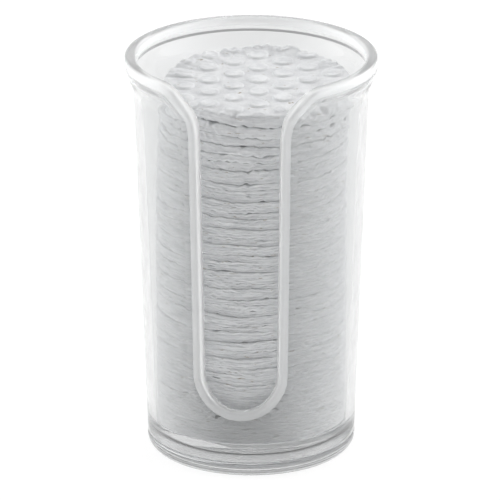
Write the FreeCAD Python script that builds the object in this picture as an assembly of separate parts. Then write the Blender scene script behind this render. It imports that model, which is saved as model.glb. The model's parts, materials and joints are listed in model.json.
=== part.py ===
"""Clear tumbler that holds and hands out a stack of round cotton pads.

The cup is a tapered clear moulding with a flared lip and a finger slot down
its front. One round bead follows its whole open edge: round the rim, down
both sides of the slot and under its sill. A clear base plate is bonded under
the cup's floor. The pads lie loose on the floor and lift out at the mouth.

Millimetres. +Z is up, the origin is the middle of the face that the tumbler
stands on, and the slot faces -Y.
"""

import FreeCAD, Part
import math
import os

V = FreeCAD.Vector
ORIGIN = V(0, 0, 0)
UP = V(0, 0, 1)
QUARTER = math.pi / 2
GOLDEN_ANGLE = math.pi * (3 - math.sqrt(5))

# Cup wall and floor
CUP_HEIGHT = 123.2
SHOULDER_RADIUS = 35.0
WALL = 2.6
FLOOR_THICKNESS = 5.2

# Lip, and the bead along the open edge
LIP_HEIGHT = 10.4
LIP_RISE = 5.6
RIM_RADIUS = 37.7
BEAD_RADIUS = 1.8

# Finger slot, measured at the shoulder between the beads
SLOT_WIDTH = 24.1
SILL_HEIGHT = 21.5
MOUTH_WIDTH = 11.0
MOUTH_HEIGHT = 15.0

# Base plate
BASE_THICKNESS = 5.2
BASE_EDGE_ROUND = 3.8
JOINT_BEVEL = 0.25

# Cotton pads
PAD_RADIUS = 28.3
PAD_CLEARANCE = 0.4
PAD_THICKNESS = 1.68
TOP_PAD_THICKNESS = 3.9
PADS_LOOSENING = 4.0
TOP_PAD_DEPTH = 8.6
PAD_OFFSET = 0.3
TOP_PAD_OFFSET = 1.6

# Length of the bead's bends from one exact circle to the next
BEND_STEP = 5.0

# Reach of the wedge that cuts the slot, as shares of the bead's distance from the axis
WEDGE_START = 0.7
WEDGE_END = 1.3

# Levels that follow from the sizes above
FLOOR_TOP = BASE_THICKNESS + FLOOR_THICKNESS
BEAD_HEIGHT = CUP_HEIGHT - BEAD_RADIUS
SHOULDER_HEIGHT = CUP_HEIGHT - LIP_HEIGHT

# The wall tapers down to stand clear of the pads at the floor
FLOOR_RADIUS = PAD_RADIUS + PAD_CLEARANCE
TAPER = (SHOULDER_RADIUS - WALL - FLOOR_RADIUS) / (SHOULDER_HEIGHT - FLOOR_TOP)


def outer_radius(z):
    """Outer radius of the straight taper."""
    return FLOOR_RADIUS + WALL + TAPER * (z - FLOOR_TOP)


def inner_radius(z):
    return outer_radius(z) - WALL


# The lip leans out from the shoulder, then stands upright under the bead. The bead's
# middle is the middle of the wall.
BEAD_STAND = BEAD_RADIUS - WALL / 2
RIM_MIDDLE = RIM_RADIUS - BEAD_RADIUS
LIP_TOP = SHOULDER_HEIGHT + LIP_RISE


def bead_middle(z):
    """Distance from the axis to the bead's middle, where the bead passes height z."""
    shoulder = SHOULDER_RADIUS - WALL / 2
    if z <= SHOULDER_HEIGHT:
        return outer_radius(z) - WALL / 2
    lean = min(1.0, (z - SHOULDER_HEIGHT) / LIP_RISE)
    return shoulder + (RIM_MIDDLE - shoulder) * lean


def line(a, b):
    return Part.LineSegment(V(a[0], 0, a[1]), V(b[0], 0, b[1])).toShape()


def arc(a, b, c):
    return Part.Arc(*(V(p[0], 0, p[1]) for p in (a, b, c))).toShape()


def rounded_corner(a, corner, b):
    """Quarter circle from a to b that rounds off the square corner between them."""
    pull = 1 - math.sqrt(0.5)
    middle = [corner[i] + pull * (a[i] + b[i] - 2 * corner[i]) for i in (0, 1)]
    return arc(a, middle, b)


def turned(edges):
    """Solid of revolution about the Z axis from a closed outline in the XZ plane."""
    outline = Part.Wire(Part.__sortEdges__(edges))
    return Part.Face(outline).revolve(ORIGIN, UP, 360)


def turned_cup():
    """Cup before its slot is cut and its edge is rolled."""
    bevel_top = BASE_THICKNESS + JOINT_BEVEL
    corner_top = FLOOR_TOP + PAD_CLEARANCE
    outside = [
        (0, BASE_THICKNESS),
        (outer_radius(BASE_THICKNESS) - JOINT_BEVEL, BASE_THICKNESS),
        (outer_radius(bevel_top), bevel_top),
        (SHOULDER_RADIUS, SHOULDER_HEIGHT),
        (RIM_MIDDLE + WALL / 2, LIP_TOP),
        (RIM_MIDDLE + WALL / 2, BEAD_HEIGHT),
    ]
    inside = [
        (RIM_MIDDLE - WALL / 2, BEAD_HEIGHT),
        (RIM_MIDDLE - WALL / 2, LIP_TOP),
        (SHOULDER_RADIUS - WALL, SHOULDER_HEIGHT),
        (inner_radius(corner_top), corner_top),
    ]
    floor_end = (inside[-1][0] - PAD_CLEARANCE, FLOOR_TOP)
    wall = outside + inside
    return turned([
        *(line(here, ahead) for here, ahead in zip(wall, wall[1:])),
        rounded_corner(inside[-1], (inside[-1][0], FLOOR_TOP), floor_end),
        line(floor_end, (0, FLOOR_TOP)),
        line((0, FLOOR_TOP), (0, BASE_THICKNESS)),
    ])


# Places on the bead's middle line are pairs of the angle from the slot's middle and the
# height. The sides of the slot keep their angle, so the slot widens with the cup.
SIDE_ANGLE = math.asin((SLOT_WIDTH / 2 + BEAD_RADIUS) / bead_middle(SHOULDER_HEIGHT))
SILL_ROUND = SIDE_ANGLE * bead_middle(SILL_HEIGHT + SLOT_WIDTH / 2)
SIDE_FOOT = SILL_HEIGHT - BEAD_RADIUS + SILL_ROUND
SIDE_TOP = BEAD_HEIGHT - MOUTH_HEIGHT
MOUTH_ANGLE = SIDE_ANGLE + MOUTH_WIDTH / RIM_MIDDLE


def sill_place(turn):
    """Half circle under the slot, from -90 degrees at its left end to 90 at its right."""
    return SIDE_ANGLE * math.sin(turn), SIDE_FOOT - SILL_ROUND * math.cos(turn)


def mouth_place(turn):
    """Quarter of an ellipse from the right side's top at 0 out to the rim at 90 degrees."""
    run = MOUTH_ANGLE - SIDE_ANGLE
    return SIDE_ANGLE + run * (1 - math.cos(turn)), SIDE_TOP + MOUTH_HEIGHT * math.sin(turn)


def on_cup(angle, z):
    """Point of the bead's middle line."""
    radius = bead_middle(z)
    return V(radius * math.sin(angle), -radius * math.cos(angle), z)


def stretch(place_at, start, end, length):
    """Points along part of the open edge, about BEND_STEP apart."""
    steps = max(4, round(length / BEND_STEP))
    turns = [start + (end - start) * step / steps for step in range(steps + 1)]
    return [on_cup(*place_at(turn)) for turn in turns]


def sill_points():
    return stretch(sill_place, -QUARTER, QUARTER, SILL_ROUND * math.pi)


def mouth_points():
    return stretch(mouth_place, 0, QUARTER, (MOUTH_WIDTH + MOUTH_HEIGHT) / 2 * QUARTER)


def side_direction():
    """Direction of the slot's right side, upwards along the taper."""
    rise = on_cup(SIDE_ANGLE, SIDE_TOP) - on_cup(SIDE_ANGLE, SIDE_FOOT)
    return rise.normalize()


def smooth_curve(points, places, start, end):
    """Curve through the points at the given places along it, with its end directions."""
    curve = Part.BSplineCurve()
    curve.interpolate(
        Points=points, Parameters=places, InitialTangent=start, FinalTangent=end
    )
    return curve


def bent_bar(points, start, end):
    """Round bar along a curve in space, with an exact circle square to it at each point.

    Eight rails run along the corners and sides of the square around each circle. They are
    the rows of poles of a skin that is a rational circle one way and a spline the other.
    """
    places = [0.0]
    for here, ahead in zip(points, points[1:]):
        places.append(places[-1] + here.distanceToPoint(ahead))
    middle = smooth_curve(points, places, start, end)

    def rail(corner):
        turn = corner * math.pi / 4
        reach = BEAD_RADIUS * (math.sqrt(2) if corner % 2 else 1)
        shifted = []
        for point, place in zip(points, places):
            along = middle.tangent(place)[0]
            across = along.cross(V(point.x, point.y, 0)).normalize()
            outward = across.cross(along)
            shifted.append(point + (outward * math.cos(turn) + across * math.sin(turn)) * reach)
        return smooth_curve(shifted, places, start, end)

    # Across, the skin joins four quarter circles: three poles each, the middle one weighted
    rails = [rail(corner) for corner in range(8)]
    rails.append(rails[0])
    count = rails[0].NbPoles
    skin = Part.BSplineSurface()
    skin.buildFromPolesMultsKnots(
        [row.getPoles() for row in rails],
        [3, 2, 2, 2, 3],
        rails[0].getMultiplicities(),
        [0, 1, 2, 3, 4],
        rails[0].getKnots(),
        False,
        False,
        2,
        3,
        [[math.sqrt(0.5) if row % 2 else 1.0] * count for row in range(9)],
    )
    ends = [skin.vIso(place).toShape() for place in (places[0], places[-1])]
    caps = [Part.Face(Part.Wire(end)) for end in ends]
    shell = Part.Shell([skin.toShape(), *caps])
    shell.sewShape()
    return Part.Solid(shell)


def round_face(point, along):
    return Part.Face(Part.Wire(Part.Circle(point, along, BEAD_RADIUS).toShape()))


def mirrored(shape):
    return shape.mirror(ORIGIN, V(1, 0, 0))


def bead_parts():
    """The bead, end to end: sill, two straight sides, two bends at the mouth and the rim."""
    up_right = side_direction()
    down_left = V(up_right.x, -up_right.y, -up_right.z)
    foot = on_cup(SIDE_ANGLE, SIDE_FOOT)
    top = on_cup(SIDE_ANGLE, SIDE_TOP)
    rim_start = on_cup(MOUTH_ANGLE, BEAD_HEIGHT)
    along_rim = V(math.cos(MOUTH_ANGLE), math.sin(MOUTH_ANGLE), 0)
    sill = bent_bar(sill_points(), down_left, up_right)
    side = round_face(foot, up_right).extrude(top - foot)
    mouth = bent_bar(mouth_points(), up_right, along_rim)
    rim_turn = 360 - math.degrees(2 * MOUTH_ANGLE)
    back = round_face(rim_start, along_rim).revolve(ORIGIN, UP, rim_turn)
    return [sill, side, mirrored(side), mouth, mirrored(mouth), back]


def slot_cutter():
    """Wedge through the front wall, whose sides run along the bead's middle and point at the
    axis, so that they meet the wall squarely."""
    mouth = mouth_points()
    left = [V(-point.x, point.y, point.z) for point in mouth[::-1]]
    outline = left + sill_points() + mouth
    wires = []
    for reach in (WEDGE_START, WEDGE_END):
        edge = [V(point.x * reach, point.y * reach, point.z) for point in outline]
        curve = Part.BSplineCurve()
        curve.interpolate(edge)
        lid = Part.LineSegment(edge[-1], edge[0]).toShape()
        wires.append(Part.Wire([curve.toShape(), lid]))
    return Part.makeLoft(wires, True, True)


def cup():
    return turned_cup().cut(slot_cutter()).fuse(bead_parts())


def base_plate():
    """Solid disc under the cup's floor, with a well rounded lower edge to stand on."""
    side = outer_radius(BASE_THICKNESS)
    joint_end = (side - JOINT_BEVEL, BASE_THICKNESS)
    side_top = (side, BASE_THICKNESS - JOINT_BEVEL)
    side_foot = (side, BASE_EDGE_ROUND)
    foot_end = (side - BASE_EDGE_ROUND, 0)
    return turned([
        line((0, BASE_THICKNESS), joint_end),
        line(joint_end, side_top),
        line(side_top, side_foot),
        rounded_corner(side_foot, (side, 0), foot_end),
        line(foot_end, (0, 0)),
        line((0, 0), (0, BASE_THICKNESS)),
    ])


def pad_thicknesses():
    """Thickness of each pad from the floor up: squeezed below, looser towards the top."""
    room = CUP_HEIGHT - TOP_PAD_DEPTH - FLOOR_TOP
    from_top = []
    while sum(from_top) + PAD_THICKNESS / 2 < room:
        looseness = math.exp(-len(from_top) / PADS_LOOSENING)
        from_top.append(PAD_THICKNESS + (TOP_PAD_THICKNESS - PAD_THICKNESS) * looseness)
    fill = room / sum(from_top)
    return [thickness * fill for thickness in reversed(from_top)]


def pad_place(number, count, level):
    """Where a pad lies in plan: a little off the axis, and clear of the wall and the bead."""
    spare = inner_radius(level) - BEAD_STAND - PAD_RADIUS - PAD_CLEARANCE / 2
    looseness = math.exp((number - count + 1) / PADS_LOOSENING)
    wander = max(0.0, min(PAD_OFFSET, spare / 2))
    push = max(0.0, min(TOP_PAD_OFFSET * looseness, spare / 2))
    turn = number * GOLDEN_ANGLE
    return wander * math.cos(turn) + push, wander * math.sin(turn)


def cotton_pads():
    """Flat rounds of cotton, each lying on the one below."""
    thicknesses = pad_thicknesses()
    pads = {}
    level = FLOOR_TOP
    for number, thickness in enumerate(thicknesses):
        x, y = pad_place(number, len(thicknesses), level)
        pads[f"pad_{number + 1:02d}"] = Part.makeCylinder(PAD_RADIUS, thickness, V(x, y, level))
        level += thickness
    return pads


os.makedirs("parts", exist_ok=True)
pieces = {"cup": cup(), "base_plate": base_plate(), **cotton_pads()}
for name, piece in pieces.items():
    piece.exportStep(f"parts/{name}.step")
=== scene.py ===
"""Clear tumbler with a stack of round cotton pads: finished surfaces, studio and camera.

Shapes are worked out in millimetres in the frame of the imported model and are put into
their meshes in metres. The tumbler stands on z = 0 and its finger slot faces -Y.
"""

import json
import math

import bpy
import numpy as np
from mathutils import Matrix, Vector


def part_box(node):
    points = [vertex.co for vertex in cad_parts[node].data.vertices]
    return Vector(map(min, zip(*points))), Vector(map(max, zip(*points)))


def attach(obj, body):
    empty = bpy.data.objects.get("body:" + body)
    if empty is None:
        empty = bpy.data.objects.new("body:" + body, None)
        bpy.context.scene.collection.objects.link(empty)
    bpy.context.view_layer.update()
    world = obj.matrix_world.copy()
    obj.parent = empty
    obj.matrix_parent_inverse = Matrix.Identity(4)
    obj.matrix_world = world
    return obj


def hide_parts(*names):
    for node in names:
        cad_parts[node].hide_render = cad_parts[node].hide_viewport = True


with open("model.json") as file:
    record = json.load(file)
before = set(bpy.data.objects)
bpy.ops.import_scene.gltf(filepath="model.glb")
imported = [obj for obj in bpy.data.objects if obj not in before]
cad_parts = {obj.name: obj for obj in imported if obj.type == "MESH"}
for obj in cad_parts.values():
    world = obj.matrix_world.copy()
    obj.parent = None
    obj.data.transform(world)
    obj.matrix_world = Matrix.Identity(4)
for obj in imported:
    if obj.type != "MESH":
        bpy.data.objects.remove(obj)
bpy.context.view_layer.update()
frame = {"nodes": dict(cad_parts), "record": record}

MM = 0.001
FULL_TURN = 2 * math.pi

# Cup
WALL = 2.6
SHOULDER_HEIGHT = 112.8
SHOULDER_RADIUS = 35.0
FLOOR_TOP = 10.4
FLOOR_RADIUS = 28.7
FLOOR_CORNER = 0.4
TAPER = (SHOULDER_RADIUS - WALL - FLOOR_RADIUS) / (SHOULDER_HEIGHT - FLOOR_TOP)
FLARE = 1.89
FLARE_FOOT = 112.0
FLARE_TOP = 119.6

# Rolled edge of the cup
BEAD_RADIUS = 1.8
STEP_TOP = 1.4
STEP_FOOT = 3.2
END_POWER = 0.62
BEAD_HEIGHT = 121.4
BAND_WIDTH = 5.5
EDGE_FADE = (0.0, 1.4)

# Rows on each side of the bead's section: flat band, step and lip; and round its whole end
BAND_ROWS, STEP_ROWS, LIP_ROWS, END_ROWS = 4, 12, 3, 33

# The slot's outline, as angles from the front and heights
SIDE_ANGLE = math.radians(24.27)
SIDE_FOOT = 32.76
SIDE_TOP = 106.4
SILL_ROUND = 13.06
MOUTH_ANGLE = math.radians(41.8)

# The cup's columns: how many, how fine each part of the open edge is worked out, and the
# angle from the front, in degrees, of the column's foot at the back of the rim, at the
# upper and the lower end of the mouth's curve, at the foot of the slot's side and at the
# middle of the sill
CUP_COLUMNS = 560
EDGE_PARTS = 400
FOOT_SPREAD = (180, 130, 118, 58, 0)

# The cup's rows: those up the wall, which close up towards the bead by a power, those in
# the floor's corner, and the radii of those across the underside and the floor
WALL_ROWS = 40
WALL_POWER = 1.5
CORNER_ROWS = 6
UNDER_RADII = (8, 20)
FLOOR_RADII = (24, 16, 8)

# Base plate
BASE_THICKNESS = 5.2
BASE_EDGE_ROUND = 3.8
JOINT_BEVEL = 0.25
BOND = 0.02
BASE_COLUMNS = 384
BASE_ROUND_ROWS = 16
BASE_RADII = (8, 18)

# Places among the cup's materials of the lit and shaded copies of one clear plastic: the
# wall's darkened as painted shade, the edge's made milky as painted glow, the foot's kept
# full-bright as painted light
SHADED_WALL_COPY, GLOWING_EDGE_COPY, LIT_FOOT_COPY = range(3)

# Cotton pads
PAD_RADIUS = 28.3
PAD_TILT = math.radians(2.0)
PADS_LOOSENING = 4.0
PAD_BLOCK = 6
THINNEST_PAD = 0.5
PLY_GROOVE = 0.22
PLY_FADE = 0.7
CURL = 1.3
CURL_TUFTS = 0.35

# Amounts for a pressed pad, and what a loose one adds to them
SLOW_RIPPLE = (0.12, 0.16)
QUICK_RIPPLE = (0.08, 0.12)
PARTING = (0.22, 0.65)
SEAM_OPENING = (0.01, 0.04)
EDGE_BLUNTNESS = (0.3, 0.25)
EDGE_ROUND = (0.010, 0.014)

# Other amounts of the seams, and the powers of the share of the radius by which the
# ripples, the curl and the gap grow
DRIFT_RIPPLE = 0.25
TOP_FLATNESS = 0.6
PARTING_START = 1.3
PARTING_EASE = 0.7
PARTING_LIMIT = 1.2
SHUT_GAP = 0.01
RIPPLE_POWER = 4
CURL_POWER = 10
GAP_POWER = 16

# The pads' edge: how far it stands in, its raggedness and tufts, and their limits
EDGE_INSET = 0.1
RAGGEDNESS = 0.09
TUFTS = 0.10
RAGGED_RANGE = (-0.4, 0.3)

# The pads' rings and columns, as shares of the radius and as counts
UNDER_SHARES = (0.3, 0.6, 0.8, 0.9, 0.96)
EDGE_ROWS = 13
DIMPLED_ROWS = 76
DIMPLED_MIDDLE = 0.04
PLAIN_COLUMNS = 384
DIMPLED_COLUMNS = 480

# Noises round a pad, as their whole waves and their first seed
SLOW_NOISE = range(3, 14), 1000
QUICK_NOISE = range(14, 70), 2000
PARTING_NOISE = range(6, 44), 3000
RAGGED_NOISE = range(2, 10), 4000
TUFT_NOISE = range(10, 90), 5000
DRIFT_NOISE = range(1, 8), 6000
SWAY_NOISE = range(3, 24), 7000
CURL_NOISE = range(12, 60), 8000

# Raised dots, on the top pads. Each pad's dots lie 1 mm off those of the next.
DIMPLED_PADS = 7
UNCOVERED_PAD = 55
DOT_COLUMNS = 7.35
DOT_ROWS = 10.0
DOT_RADIUS = 2.95
DOT_RISE = 0.55
DOT_SOFTNESS = 0.45
DOT_TURN = math.radians(6.2)
DOT_PLACE = (1.95, 1.7)
DOTS_END = 0.97
DOTS_FADE = 0.08

# Clear plastic: share of light let through and brightness of the tint, for each copy of it.
# The wall's lower tone is painted shade, the edge's lower clarity a painted milky glow, the
# foot's full brightness painted light.
SHADED_WALL_CLARITY, SHADED_WALL_TONE = 0.92, 0.82
GLOWING_EDGE_CLARITY, GLOWING_EDGE_TONE = 0.60, 0.93
LIT_FOOT_CLARITY, LIT_FOOT_TONE = 1.0, 1.0
PLASTIC_IOR = 1.49
PLASTIC_ROUGHNESS = 0.035
EDGE_HAZE = 0.2
PLASTIC_TINTS = (0.975, 0.985, 0.99), (0.997, 1, 1)
SHADOW_TINT = (0.9, 0.9, 0.9, 1)

# Cotton: a darker and a lighter colour, mixed by the layer noise. The darker one is partly
# the fibres' random tone and partly painted shade, as it falls where the layers' bump is low
COTTON_TONE_AND_GROOVE_SHADE = (0.65, 0.66, 0.675), (0.80, 0.81, 0.82)
HUSK_COLOUR = (0.36, 0.31, 0.24)
LAYER_HEIGHT = 0.8

# Studio
FLOOR_GAP = 0.05
FLOOR_GLOW = 0.86
FLOOR_COLOUR = (0.2, 0.2, 0.2, 1)
FLOOR_RINGS = (4000.0, 1000.0, 200.0)
FLOOR_COLUMNS = 128
FRONT_BRIGHTNESS = 0.08
BACK_BRIGHTNESS = 0.4
SIDE_BRIGHTNESS = 1.2
LIGHT_BOUNCES = 40
CAMERA_TURN = math.radians(6.2)
CAMERA_RISE = math.radians(20.27)
CAMERA_DISTANCE = 2.5
CAMERA_AIM = (0, 0, 0.060)
SENSOR_WIDTH = 36
LENS = 602
LENS_SHIFT = (-0.0024, 0.0086)


# ---------------------------------------------------------------- meshes
def ring_mesh(name, rows, first_pole=None, last_pole=None, edge=None, painted_light_finish=None):
    """Closed skin from rows of points, shape (rows, columns, 3), each row a closed ring.

    Quads join each row to the next and each column to its neighbour. A pole closes an end
    with a fan. edge is a share for each row, kept as the attribute rolled_edge.
    painted_light_finish is the number of the material for each strip between two rows: one of
    the lit and shaded copies of the plastic, which carry painted shade and painted glow.
    """
    count, columns = rows.shape[:2]
    points = rows.reshape(-1, 3)
    row, column = np.meshgrid(np.arange(count - 1), np.arange(columns), indexing="ij")
    ahead = (column + 1) % columns
    quads = np.stack([
        row * columns + column,
        row * columns + ahead,
        (row + 1) * columns + ahead,
        (row + 1) * columns + column,
    ], axis=-1).reshape(-1, 4)
    ring = np.arange(columns)
    fans = []
    if first_pole is not None:
        pole = np.full(columns, len(points))
        points = np.vstack([points, first_pole])
        fans.append(np.stack([pole, (ring + 1) % columns, ring], axis=-1))
    if last_pole is not None:
        pole = np.full(columns, len(points))
        points = np.vstack([points, last_pole])
        last = (count - 1) * columns
        fans.append(np.stack([last + ring, last + (ring + 1) % columns, pole], axis=-1))
    faces = quads.tolist() + [face for fan in fans for face in fan.tolist()]
    mesh = bpy.data.meshes.new(name)
    mesh.from_pydata((points * MM).tolist(), [], faces)
    mesh.polygons.foreach_set("use_smooth", np.ones(len(faces), bool))
    if edge is not None:
        share = np.zeros(len(points), np.float32)
        share[:count * columns] = np.repeat(edge, columns)
        mesh.attributes.new("rolled_edge", "FLOAT", "POINT").data.foreach_set("value", share)
    if painted_light_finish is not None:
        ends = [painted_light_finish[0]] * (first_pole is not None) + [painted_light_finish[-1]] * (last_pole is not None)
        strips = np.concatenate([painted_light_finish, ends]).astype(np.int32)
        mesh.polygons.foreach_set("material_index", np.repeat(strips, columns))
    mesh.update()
    piece = bpy.data.objects.new(name, mesh)
    bpy.context.scene.collection.objects.link(piece)
    return piece


def wave_sum(angles, counts, seed):
    """Periodic noise round a ring: cosines of whole wave counts with random sizes and
    phases, scaled to a standard deviation of 1."""
    random = np.random.default_rng(seed)
    counts = np.asarray(counts)
    size = random.normal(size=len(counts))
    phase = random.uniform(0, FULL_TURN, len(counts))
    total = (size[:, None] * np.cos(counts[:, None] * angles + phase[:, None])).sum(0)
    return total / np.sqrt((size ** 2).sum() / 2)


def ease(share):
    """Smooth step from 0 to 1: 3 s^2 - 2 s^3, flat at both ends."""
    share = np.clip(share, 0, 1)
    return share * share * (3 - 2 * share)


# ---------------------------------------------------------------- cup
def middle_radius(z):
    """Radius of the middle of the wall: a straight taper, with a smooth step outwards at
    the lip."""
    taper = FLOOR_RADIUS + WALL / 2 + TAPER * (z - FLOOR_TOP)
    return taper + FLARE * ease((z - FLARE_FOOT) / (FLARE_TOP - FLARE_FOOT))


def on_wall(angle, z, stand):
    """Point that stands off the middle of the wall by stand, square to the wall.

    The normal leans down by the slope of the middle radius.
    """
    step = 0.01
    slope = (middle_radius(z + step) - middle_radius(z - step)) / (2 * step)
    lean = np.sqrt(1 + slope ** 2)
    radius = middle_radius(z) + stand / lean
    height = z - stand * slope / lean
    return np.stack([radius * np.sin(angle), -radius * np.cos(angle), height], axis=-1)


def open_edge(steps):
    """Middle line of the bead, evenly spaced, from the back of the rim round by the left
    of the slot and back again, as angle and height, with the angle of each column's foot.

    Half of it is the rim's arc, a quarter ellipse at the mouth, the straight side and a
    quarter of the sill's ellipse. The other half is its mirror image.
    """
    last = EDGE_PARTS - 1
    fine = np.linspace(0, 1, EDGE_PARTS)
    quarter = fine * math.pi / 2
    run = MOUTH_ANGLE - SIDE_ANGLE
    angle = np.concatenate([
        math.pi + (MOUTH_ANGLE - math.pi) * fine,
        SIDE_ANGLE + run * (1 - np.cos(quarter[::-1][1:])),
        np.full(last, SIDE_ANGLE),
        SIDE_ANGLE * np.cos(quarter[1:]),
    ])
    height = np.concatenate([
        np.full(EDGE_PARTS, BEAD_HEIGHT),
        SIDE_TOP + (BEAD_HEIGHT - SIDE_TOP) * np.sin(quarter[::-1][1:]),
        SIDE_TOP + (SIDE_FOOT - SIDE_TOP) * fine[1:],
        SIDE_FOOT - SILL_ROUND * np.sin(quarter[1:]),
    ])
    across = middle_radius(height)
    length = np.hypot(np.diff(angle) * (across[1:] + across[:-1]) / 2, np.diff(height))
    place = np.concatenate([[0], np.cumsum(length)])
    even = np.linspace(0, place[-1], steps // 2 + 1)
    half_angle = np.interp(even, place, angle)
    half_height = np.interp(even, place, height)
    ends = place[[0, last, 2 * last, 3 * last, -1]]
    half_foot = np.radians(np.interp(even, ends, FOOT_SPREAD))
    angle = np.concatenate([-half_angle, half_angle[-2:0:-1]])
    height = np.concatenate([half_height, half_height[-2:0:-1]])
    foot = np.concatenate([-half_foot, half_foot[-2:0:-1]])
    return angle, height, foot


def into_wall(angle, height):
    """Direction square to the open edge, in the wall's surface and into the wall, as an arc
    length round the cup and a height."""
    turn = np.angle(np.exp(1j * (np.roll(angle, -1) - np.roll(angle, 1))))
    along = turn * middle_radius(height)
    rise = np.roll(height, -1) - np.roll(height, 1)
    length = np.hypot(along, rise)
    return rise / length, -along / length


def bead_section():
    """Section of the thick edge as depth into the wall and stand off its middle: down the
    outside, a soft step up to the full thickness, round the blunt end, and the same back
    along the inside. The end is a superellipse, whose sides are flatter than a circle's."""
    flat = np.linspace(BAND_WIDTH, STEP_FOOT, BAND_ROWS + 1)[:-1]
    step = np.linspace(STEP_FOOT, STEP_TOP, STEP_ROWS)
    lip = np.linspace(STEP_TOP, 0, LIP_ROWS + 2)[1:-1]
    side = np.concatenate([flat, step, lip])
    stand = WALL / 2 + (BEAD_RADIUS - WALL / 2) * ease((STEP_FOOT - side) / (STEP_FOOT - STEP_TOP))
    turn = np.linspace(math.pi / 2, 3 * math.pi / 2, END_ROWS)
    end_depth = -BEAD_RADIUS * np.abs(np.cos(turn)) ** END_POWER
    end_stand = BEAD_RADIUS * np.sign(np.sin(turn)) * np.abs(np.sin(turn)) ** END_POWER
    depth = np.concatenate([side, end_depth, side[::-1]])
    return depth, np.concatenate([stand, end_stand, -stand[::-1]])


def cup():
    """The whole cup as one closed skin over two parameters: the place along its open edge,
    and the way from the middle of the underside up the outside, over the bead, down the
    inside and in to the middle of the floor.

    Between the foot and the band beside the bead, angle and height run straight from one to
    the other, with rows that close up towards the band.
    """
    angle, height, foot = open_edge(CUP_COLUMNS)
    inward, down = into_wall(angle, height)
    depth, stand = bead_section()
    reach = middle_radius(height)
    band_angle = angle + depth[:, None] * inward / reach
    band_height = height + depth[:, None] * down
    band = on_wall(band_angle, band_height, stand[:, None])

    share = 1 - (1 - np.linspace(0, 1, WALL_ROWS)[:-1, None]) ** WALL_POWER
    across = (band_angle[0] - foot + math.pi) % FULL_TURN - math.pi

    def wall(foot_height, side):
        rows_height = foot_height + (band_height[0] - foot_height) * share
        return on_wall(foot + across * share, rows_height, side * WALL / 2)

    outside = wall(BASE_THICKNESS + JOINT_BEVEL, 1)
    inside = wall(FLOOR_TOP + FLOOR_CORNER, -1)[::-1]

    def level_ring(radius, z):
        z = np.full_like(foot, z)
        return np.stack([radius * np.sin(foot), -radius * np.cos(foot), z], axis=-1)

    side = np.hypot(outside[0, :, 0], outside[0, :, 1]).mean()
    radii = (*UNDER_RADII, side - JOINT_BEVEL)
    under = [level_ring(radius, BASE_THICKNESS) for radius in radii]
    corner = inside[-1]
    wall_foot = np.hypot(corner[:, 0], corner[:, 1]).mean()
    turn = np.linspace(0, math.pi / 2, CORNER_ROWS + 1)[1:]
    corner_rows = [
        level_ring(
            wall_foot - FLOOR_CORNER * (1 - math.cos(a)),
            FLOOR_TOP + FLOOR_CORNER * (1 - math.sin(a)),
        )
        for a in turn
    ]
    floor = [level_ring(radius, FLOOR_TOP) for radius in FLOOR_RADII]
    rows = np.concatenate([under, outside, band, inside, corner_rows, floor])
    edge = np.concatenate([
        np.zeros(len(under) + len(outside)),
        ease((EDGE_FADE[1] - depth) / (EDGE_FADE[1] - EDGE_FADE[0])),
        np.zeros(len(inside) + len(corner_rows) + len(floor)),
    ])
    # The rows along the bead take the milky copy as painted glow, the underside and the floor the
    # full-bright copy as painted light, and the wall the darker copy as painted shade.
    painted_light_finish = np.where(edge[:-1] + edge[1:] > 1, GLOWING_EDGE_COPY, SHADED_WALL_COPY)
    painted_light_finish[:len(under) + 1] = LIT_FOOT_COPY
    painted_light_finish[-len(corner_rows) - len(floor):] = LIT_FOOT_COPY
    poles = [0, 0, BASE_THICKNESS], [0, 0, FLOOR_TOP]
    return ring_mesh("clear_cup", rows, *poles, edge, painted_light_finish)


# ---------------------------------------------------------------- base plate
def base_plate():
    """Clear disc under the floor, as rings round the axis: flat underside, quarter round
    foot, short side, bevel at the joint and flat top."""
    side = FLOOR_RADIUS + WALL + TAPER * (BASE_THICKNESS - FLOOR_TOP)
    turn = np.linspace(0, math.pi / 2, BASE_ROUND_ROWS)
    radius = np.concatenate([
        BASE_RADII,
        side - BASE_EDGE_ROUND + BASE_EDGE_ROUND * np.sin(turn),
        [side, side - JOINT_BEVEL, *BASE_RADII[::-1]],
    ])
    z = np.concatenate([
        [0, 0],
        BASE_EDGE_ROUND * (1 - np.cos(turn)),
        [BASE_THICKNESS - JOINT_BEVEL, BASE_THICKNESS + BOND],
        [BASE_THICKNESS + BOND] * 2,
    ])
    around = np.linspace(0, FULL_TURN, BASE_COLUMNS, endpoint=False)
    rows = np.stack([
        radius[:, None] * np.sin(around),
        -radius[:, None] * np.cos(around),
        np.broadcast_to(z[:, None], (len(z), BASE_COLUMNS)),
    ], axis=-1)
    return ring_mesh("clear_base", rows, [0, 0, 0], [0, 0, BASE_THICKNESS + BOND])


# ---------------------------------------------------------------- cotton pads
def amount(pair, loose):
    """Amount for a pressed pad, plus what looseness adds to it."""
    return pair[0] + pair[1] * loose


def noise_round(kind, number, around):
    """Noise of one kind round a pad, with a seed of its own for each number."""
    waves, seed = kind
    return wave_sum(around, waves, seed + number)


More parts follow.
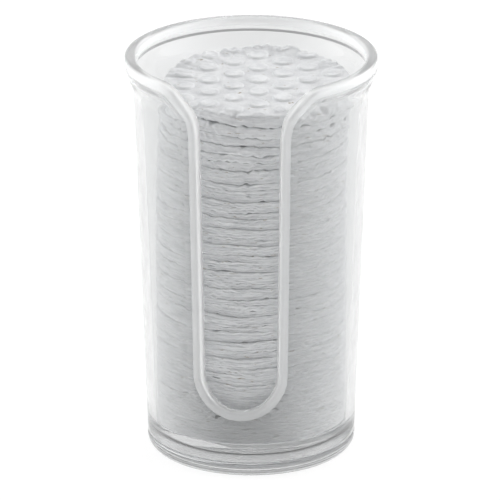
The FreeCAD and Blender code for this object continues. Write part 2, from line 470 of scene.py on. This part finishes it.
def seam(number, level, loose, around, share):
    """Surface between one pad and the next, and half the gap there, over angle and share of
    the radius: a tilted plane with ripples that grow towards the edge.

    Broad ripples drift from each block of pads to the next, so neighbours run alike. The
    uncovered top is flatter, and curls up at the back in tufts. The gap stays shut except
    where its own noise passes a threshold.
    """
    edge = share[:, None] ** RIPPLE_POWER
    tilt = math.tan(PAD_TILT) * loose * PAD_RADIUS * share[:, None] * np.cos(around)
    uncovered = loose == 1
    block, step = divmod(number, PAD_BLOCK)
    drift = [noise_round(DRIFT_NOISE, block + ahead, around) for ahead in (0, 1)]
    drift = drift[0] + (drift[1] - drift[0]) * step / PAD_BLOCK
    slow = noise_round(SLOW_NOISE, number, around)
    quick = noise_round(QUICK_NOISE, number, around)
    ripple = DRIFT_RIPPLE * drift + amount(SLOW_RIPPLE, loose) * slow
    ripple = ripple * (1 - TOP_FLATNESS * uncovered)
    ripple = ripple + amount(QUICK_RIPPLE, loose * (1 - uncovered)) * quick
    behind = 0.5 - 0.5 * np.cos(around)
    tufted = noise_round(CURL_NOISE, 0, around)
    curl = uncovered * behind ** 2 * (CURL + CURL_TUFTS * tufted)
    middle = level - tilt + edge * ripple + share[:, None] ** CURL_POWER * curl
    parting = noise_round(PARTING_NOISE, number, around)
    parting = np.clip(parting - PARTING_START + PARTING_EASE * loose, 0, PARTING_LIMIT)
    opening = amount(SEAM_OPENING, loose) + amount(PARTING, loose) * parting
    gap = SHUT_GAP + share[:, None] ** GAP_POWER * opening
    return middle, gap


def dots(x, y):
    """Height of raised round dots in staggered columns: flat on top, with a steep soft
    edge. Each point is measured to the nearest dot of the even and of the odd columns."""
    across = x * math.cos(DOT_TURN) + y * math.sin(DOT_TURN)
    along = y * math.cos(DOT_TURN) - x * math.sin(DOT_TURN)
    nearest = np.full_like(across, 1e3)
    for shift in (0, 0.5):
        column = across / (2 * DOT_COLUMNS) - shift
        row = along / DOT_ROWS - shift
        from_column = (column - np.round(column)) * 2 * DOT_COLUMNS
        from_row = (row - np.round(row)) * DOT_ROWS
        nearest = np.minimum(nearest, np.hypot(from_column, from_row))
    return DOT_RISE * ease((DOT_RADIUS + DOT_SOFTNESS - nearest) / (2 * DOT_SOFTNESS))


def pad(name, number, low, high, looses, centre, dimpled):
    """One pad as rings round its middle: across the underside, round the soft edge and back
    over the top. Its faces follow the seams below and above it.

    The edge is a blunt half round with the grooves between its plies, and is ragged all the
    way round.
    """
    columns = DIMPLED_COLUMNS if dimpled else PLAIN_COLUMNS
    around = np.linspace(0, FULL_TURN, columns, endpoint=False)
    under = np.array(UNDER_SHARES)
    over = under[::-1]
    if dimpled:
        over = np.linspace(UNDER_SHARES[-1], DIMPLED_MIDDLE, DIMPLED_ROWS)
    turn = np.linspace(0, math.pi, EDGE_ROWS + 2)[1:-1]
    blunt = np.sin(turn) ** amount(EDGE_BLUNTNESS, looses[1])
    round_off = amount(EDGE_ROUND, looses[1])
    share = np.concatenate([under, 1 - round_off + round_off * blunt, over])
    lift = np.concatenate([0 * under, 0.5 - 0.5 * np.cos(turn), 0 * over + 1])[:, None]
    bottom, gap_below = seam(number, low, looses[0], around, share)
    top, gap_above = seam(number + 1, high, looses[1], around, share)
    bottom = bottom + gap_below
    top = np.maximum(top - gap_above, bottom + THINNEST_PAD)
    sway = noise_round(SWAY_NOISE, number, around)
    ragged = RAGGEDNESS * noise_round(RAGGED_NOISE, number, around)
    tufts = TUFTS * noise_round(TUFT_NOISE, number, around)
    ragged = ragged + tufts * np.cos(FULL_TURN * lift + 2 * sway)
    plies = 0.5 + 0.5 * np.cos(FULL_TURN * 2 * lift + sway)
    groove = (1 - PLY_FADE * looses[1]) * PLY_GROOVE * plies * 4 * lift * (1 - lift)
    reach = PAD_RADIUS - EDGE_INSET + np.clip(ragged, *RAGGED_RANGE) - groove
    radius = share[:, None] * reach
    x = centre[0] + radius * np.sin(around)
    y = centre[1] - radius * np.cos(around)
    z = bottom + (top - bottom) * lift
    if dimpled:
        fade = ease((DOTS_END - share[:, None]) / DOTS_FADE) * (lift == 1)
        z = z + fade * dots(x - DOT_PLACE[0], y - DOT_PLACE[1] + number - UNCOVERED_PAD)
    rows = np.stack([x, y, z], axis=-1)
    return ring_mesh(name, rows, rows[0].mean(0), rows[-1].mean(0))


def cotton_stack():
    """All the pads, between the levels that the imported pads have."""
    nodes = sorted(node for node in frame["nodes"] if node.startswith("pad_"))
    pieces = []
    for number, node in enumerate(nodes):
        low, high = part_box(node)
        centre = ((low.x + high.x) / 2 / MM, (low.y + high.y) / 2 / MM)
        above = len(nodes) - number
        looses = [math.exp(-place / PADS_LOOSENING) for place in (above, above - 1)]
        piece = pad(
            "cotton_" + node, number, low.z / MM, high.z / MM, looses, centre,
            above <= DIMPLED_PADS,
        )
        pieces.append((node, piece))
    return pieces


# ---------------------------------------------------------------- materials
def new_node(nodes, kind, **values):
    """Shader node with its inputs set by name, with _ for a space."""
    node = nodes.new("ShaderNode" + kind)
    for name, value in values.items():
        node.inputs[name.replace("_", " ")].default_value = value
    return node


def colour_mix(nodes, share, first, second):
    """Colour between two, by a share from 0 to 1. A colour may be given by its socket."""
    blend = nodes.new("ShaderNodeMix")
    blend.data_type = "RGBA"
    join = nodes.id_data.links.new
    join(share, blend.inputs["Factor"])
    for name, colour in (("A", first), ("B", second)):
        if isinstance(colour, tuple):
            blend.inputs[name].default_value = (*colour, 1)
        else:
            join(colour, blend.inputs[name])
    return blend.outputs["Result"]


def new_material(name):
    material = bpy.data.materials.new(name)
    material.use_nodes = True
    nodes = material.node_tree.nodes
    return material, nodes, material.node_tree.links.new, nodes["Principled BSDF"]


def moulded_polish():
    """Unevenness of moulded plastic: a tint and a roughness that drift in broad clouds, with
    a haze along the rolled edge. Tone is the brightness of the tint, set by each of the lit
    and shaded copies of the plastic; a lower tone is painted shade."""
    group = bpy.data.node_groups.new("moulded_polish", "ShaderNodeTree")
    socket = group.interface.new_socket
    socket("Tone", in_out="INPUT", socket_type="NodeSocketFloat")
    socket("Tint", in_out="OUTPUT", socket_type="NodeSocketColor")
    socket("Roughness", in_out="OUTPUT", socket_type="NodeSocketFloat")
    nodes, join = group.nodes, group.links.new
    given = nodes.new("NodeGroupInput")
    result = nodes.new("NodeGroupOutput")
    place = new_node(nodes, "TexCoord")
    cloud = new_node(nodes, "TexNoise", Scale=60, Detail=3)
    join(place.outputs["Object"], cloud.inputs["Vector"])
    tint = colour_mix(nodes, cloud.outputs["Fac"], *PLASTIC_TINTS)
    toned = new_node(nodes, "VectorMath")
    toned.operation = "SCALE"
    join(tint, toned.inputs["Vector"])
    join(given.outputs["Tone"], toned.inputs["Scale"])
    join(toned.outputs["Vector"], result.inputs["Tint"])
    polish = new_node(nodes, "MapRange", To_Min=0, To_Max=PLASTIC_ROUGHNESS)
    join(cloud.outputs["Fac"], polish.inputs["Value"])
    rolled = new_node(nodes, "Attribute")
    rolled.attribute_name = "rolled_edge"
    haze = new_node(nodes, "Math")
    haze.operation = "MULTIPLY_ADD"
    haze.inputs[1].default_value = EDGE_HAZE
    join(rolled.outputs["Fac"], haze.inputs[0])
    join(polish.outputs["Result"], haze.inputs[2])
    join(haze.outputs["Value"], result.inputs["Roughness"])
    return group


def clear_plastic(name, clarity, tone, polish):
    """Clear moulded plastic. clarity is the share of light that goes through, and tone the
    brightness of its tint. Lamps shine through it, as they do through a real clear wall. A
    lower tone darkens a copy as painted shade, and a lower clarity makes it milky as painted
    glow."""
    material, nodes, join, shader = new_material(name)
    shader.inputs["Transmission Weight"].default_value = clarity
    shader.inputs["IOR"].default_value = PLASTIC_IOR
    painted_light_finish = nodes.new("ShaderNodeGroup")
    painted_light_finish.node_tree = polish
    painted_light_finish.inputs["Tone"].default_value = tone
    join(painted_light_finish.outputs["Tint"], shader.inputs["Base Color"])
    join(painted_light_finish.outputs["Roughness"], shader.inputs["Roughness"])
    path = new_node(nodes, "LightPath")
    through = new_node(nodes, "BsdfTransparent", Color=SHADOW_TINT)
    blend = new_node(nodes, "MixShader")
    join(path.outputs["Is Shadow Ray"], blend.inputs["Fac"])
    join(shader.outputs["BSDF"], blend.inputs[1])
    join(through.outputs["BSDF"], blend.inputs[2])
    join(blend.outputs["Shader"], nodes["Material Output"].inputs["Surface"])
    return material


def cotton():
    """Carded cotton: fine fibres that lie every way, layers that run level and break off,
    a few specks of husk and a soft sheen. The layer noise lowers the bump and darkens the
    colour together, so the grooves between layers carry painted shade beside the random tone."""
    material, nodes, join, shader = new_material("cotton")
    shader.inputs["Roughness"].default_value = 1.0
    shader.inputs["Specular IOR Level"].default_value = 0.1
    shader.inputs["Sheen Weight"].default_value = 0.25
    shader.inputs["Sheen Roughness"].default_value = 0.6
    place = new_node(nodes, "TexCoord")

    def fine(flatness, **values):
        """Noise that is finer from bottom to top than round the pad, by its flatness."""
        squash = new_node(nodes, "Mapping", Scale=(1, 1, flatness))
        noise = new_node(nodes, "TexNoise", **values)
        join(place.outputs["Object"], squash.inputs["Vector"])
        join(squash.outputs["Vector"], noise.inputs["Vector"])
        return noise.outputs["Fac"]

    def spread(noise, low, high):
        """Noise from low to high, stretched to the range from 0 to 1."""
        stretch = new_node(nodes, "MapRange", From_Min=low, From_Max=high)
        join(noise, stretch.inputs["Value"])
        return stretch.outputs["Result"]

    fibre = fine(2.5, Scale=900, Detail=6, Roughness=0.7, Distortion=1.5)
    layers = spread(fine(7, Scale=170, Detail=4, Roughness=0.65), 0.35, 0.62)
    specks = spread(fine(7, Scale=260, Detail=4, Roughness=0.65), 0.64, 0.70)
    # Painted shade: darker where the layer noise, and with it the bump, is low
    shade = colour_mix(nodes, layers, *COTTON_TONE_AND_GROOVE_SHADE)
    husk = colour_mix(nodes, specks, shade, HUSK_COLOUR)
    join(husk, shader.inputs["Base Color"])
    height = new_node(nodes, "Math")
    height.operation = "MULTIPLY_ADD"
    height.inputs[1].default_value = LAYER_HEIGHT
    join(layers, height.inputs[0])
    join(fibre, height.inputs[2])
    bump = new_node(nodes, "Bump", Strength=0.4, Distance=0.0004)
    join(height.outputs["Value"], bump.inputs["Height"])
    join(bump.outputs["Normal"], shader.inputs["Normal"])
    return material


# ---------------------------------------------------------------- dressing the part
polish = moulded_polish()
# Lit and shaded copies of one clear plastic: the wall's darkened as painted shade, the edge's made
# milky as painted glow, the foot's kept full-bright as painted light
shaded_wall_plastic = clear_plastic("clear_wall_painted_shade", SHADED_WALL_CLARITY, SHADED_WALL_TONE, polish)
glowing_edge_plastic = clear_plastic("clear_edge_painted_glow", GLOWING_EDGE_CLARITY, GLOWING_EDGE_TONE, polish)
lit_foot_plastic = clear_plastic("clear_foot_painted_light", LIT_FOOT_CLARITY, LIT_FOOT_TONE, polish)
wool = cotton()

for piece, node, painted_light_finishes in (
    (cup(), "cup", (shaded_wall_plastic, glowing_edge_plastic, lit_foot_plastic)),
    (base_plate(), "base_plate", (lit_foot_plastic,)),
):
    for painted_light_finish in painted_light_finishes:
        piece.data.materials.append(painted_light_finish)
    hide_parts(node)
    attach(piece, "holder")

bodies = frame["record"]["behaviour"]["bodies"]
body_of = {node: body for body, nodes in bodies.items() for node in nodes}
for node, piece in cotton_stack():
    piece.data.materials.append(wool)
    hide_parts(node)
    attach(piece, body_of[node])


# ---------------------------------------------------------------- studio
def studio_floor():
    """Large disc that the tumbler stands on, just under it, which gives off an even glow."""
    around = np.linspace(0, FULL_TURN, FLOOR_COLUMNS, endpoint=False)
    radius = np.array(FLOOR_RINGS)[:, None]
    level = np.full((len(radius), len(around)), -FLOOR_GAP)
    rows = np.stack([radius * np.sin(around), -radius * np.cos(around), level], axis=-1)
    floor = ring_mesh("studio_floor", rows, None, [0, 0, -FLOOR_GAP])
    material, nodes, join, shader = new_material("pale_floor")
    shader.inputs["Base Color"].default_value = FLOOR_COLOUR
    shader.inputs["Roughness"].default_value = 0.9
    shader.inputs["Specular IOR Level"].default_value = 0.0
    shader.inputs["Emission Color"].default_value = (1, 1, 1, 1)
    shader.inputs["Emission Strength"].default_value = FLOOR_GLOW
    floor.data.materials.append(material)


def soft_light(name, place, aim, size, power, mirrored=True):
    """Rectangular lamp turned to its aim. It isn't seen through the plastic, and one that
    isn't mirrored isn't seen in its shine either."""
    light = bpy.data.lights.new(name, "AREA")
    light.shape = "RECTANGLE"
    light.size, light.size_y = size
    light.energy = power
    lamp = bpy.data.objects.new(name, light)
    lamp.location = place
    dx, dy, dz = np.subtract(aim, place)
    lamp.rotation_euler = (math.atan2(math.hypot(dx, dy), -dz), 0, math.atan2(-dx, dy))
    lamp.visible_glossy = mirrored
    lamp.visible_transmission = False
    bpy.context.scene.collection.objects.link(lamp)


def soft_surroundings():
    """World whose brightness rises from front to back, and steeply at the two sides, by the
    fourth power of the sideways part of the direction."""
    world = bpy.data.worlds.new("soft_surroundings")
    world.use_nodes = True
    nodes, join = world.node_tree.nodes, world.node_tree.links.new
    toward = new_node(nodes, "TexCoord")
    parts = new_node(nodes, "SeparateXYZ")
    join(toward.outputs["Generated"], parts.inputs["Vector"])
    depth = new_node(
        nodes, "MapRange", From_Min=-1, To_Min=FRONT_BRIGHTNESS, To_Max=BACK_BRIGHTNESS
    )
    join(parts.outputs["Y"], depth.inputs["Value"])

    def squared(factor):
        square = new_node(nodes, "Math")
        square.operation = "MULTIPLY"
        join(factor, square.inputs[0])
        join(factor, square.inputs[1])
        return square.outputs["Value"]

    tone = new_node(nodes, "Math")
    tone.operation = "MULTIPLY_ADD"
    tone.inputs[1].default_value = SIDE_BRIGHTNESS
    join(squared(squared(parts.outputs["X"])), tone.inputs[0])
    join(depth.outputs["Result"], tone.inputs[2])
    join(tone.outputs["Value"], nodes["Background"].inputs["Color"])
    bpy.context.scene.world = world


def camera():
    """Long lens at a distance from its aim, turned off the front and raised."""
    view = bpy.data.cameras.new("camera")
    view.sensor_width = SENSOR_WIDTH
    view.lens = LENS
    view.shift_x, view.shift_y = LENS_SHIFT
    view.clip_end = 50
    eye = bpy.data.objects.new("camera", view)
    level = math.cos(CAMERA_RISE)
    way = (math.sin(CAMERA_TURN) * level, -math.cos(CAMERA_TURN) * level, math.sin(CAMERA_RISE))
    eye.location = [centre + CAMERA_DISTANCE * part for centre, part in zip(CAMERA_AIM, way)]
    eye.rotation_euler = (math.pi / 2 - CAMERA_RISE, 0, CAMERA_TURN)
    bpy.context.scene.collection.objects.link(eye)
    bpy.context.scene.camera = eye


studio_floor()
camera()
soft_surroundings()
soft_light("top_softbox", (0, 0.45, 1.3), (0, 0.1, 0.05), size=(2.4, 2.0), power=4.6)
soft_light(
    "left_panel", (-1.3, 0.15, 0.45), (0, 0, 0.06), size=(1.2, 0.8), power=18, mirrored=False
)
soft_light(
    "right_panel", (1.3, 0.25, 0.45), (0, 0, 0.06), size=(1.2, 0.8), power=16, mirrored=False
)
soft_light("right_window", (0.6, 1.1, 0.8), (0, 0, 0.1), size=(0.35, 0.5), power=4)
soft_light("left_window", (-0.75, 1.1, 0.8), (0, 0, 0.1), size=(0.10, 0.6), power=1.5)
bpy.context.scene.view_settings.view_transform = "Standard"

# Light is led a long way round inside the thick clear rim and foot
paths = bpy.context.scene.cycles
paths.max_bounces = LIGHT_BOUNCES
paths.glossy_bounces = LIGHT_BOUNCES
paths.transmission_bounces = LIGHT_BOUNCES
